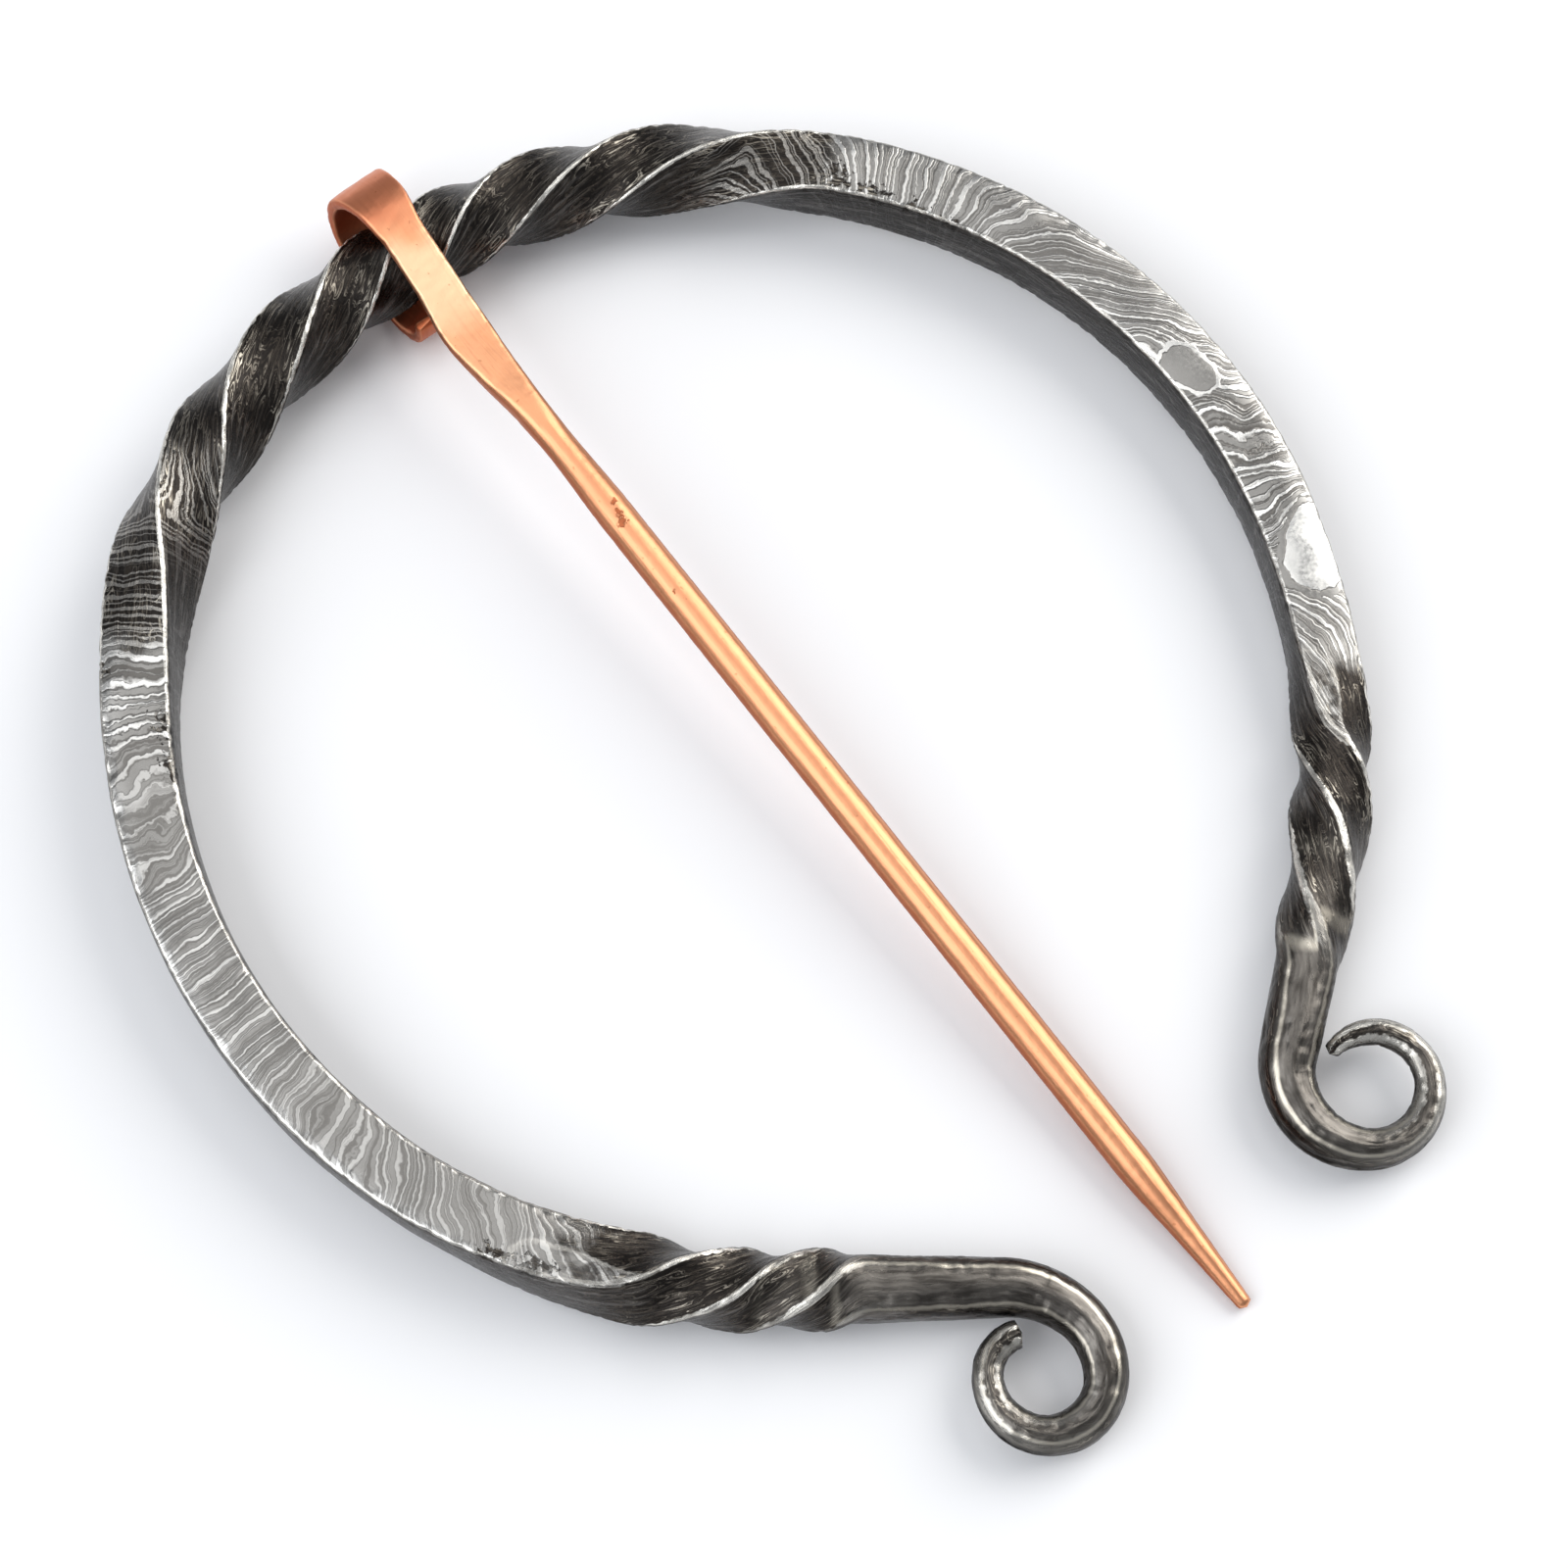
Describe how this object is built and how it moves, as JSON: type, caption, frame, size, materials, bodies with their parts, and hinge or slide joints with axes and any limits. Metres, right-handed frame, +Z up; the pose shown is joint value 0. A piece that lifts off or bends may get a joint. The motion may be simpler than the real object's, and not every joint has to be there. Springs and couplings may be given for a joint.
{
  "type": "penannular brooch",
  "caption": "Open steel hoop with twisted stretches and rolled ends, and a copper pin that turns round its bar.",
  "frame": {"origin": "middle of the bounding box on the surface that the brooch lies on", "axes": "+Z up from that surface, +X to the right and +Y away from the viewer, with the hoop open towards +X and -Y"},
  "size_m": [0.0802, 0.084, 0.0084],
  "materials": {
    "patterned_steel": "etched pattern-welded steel, dark in the twists and bright on the worn ridges",
    "copper": "hand-polished copper with hammer marks and darker edges"
  },
  "bodies": {
    "hoop": {"hoop": "patterned_steel"},
    "pin": {"pin": "copper"}
  },
  "joints": [
    {"name": "pin_turn", "type": "hinge", "parent": "hoop", "child": "pin", "pos_m": [-0.02314, 0.0324, 0.00416], "axis": [-0.788, -0.6157, 0], "continuous": true}
  ]
}
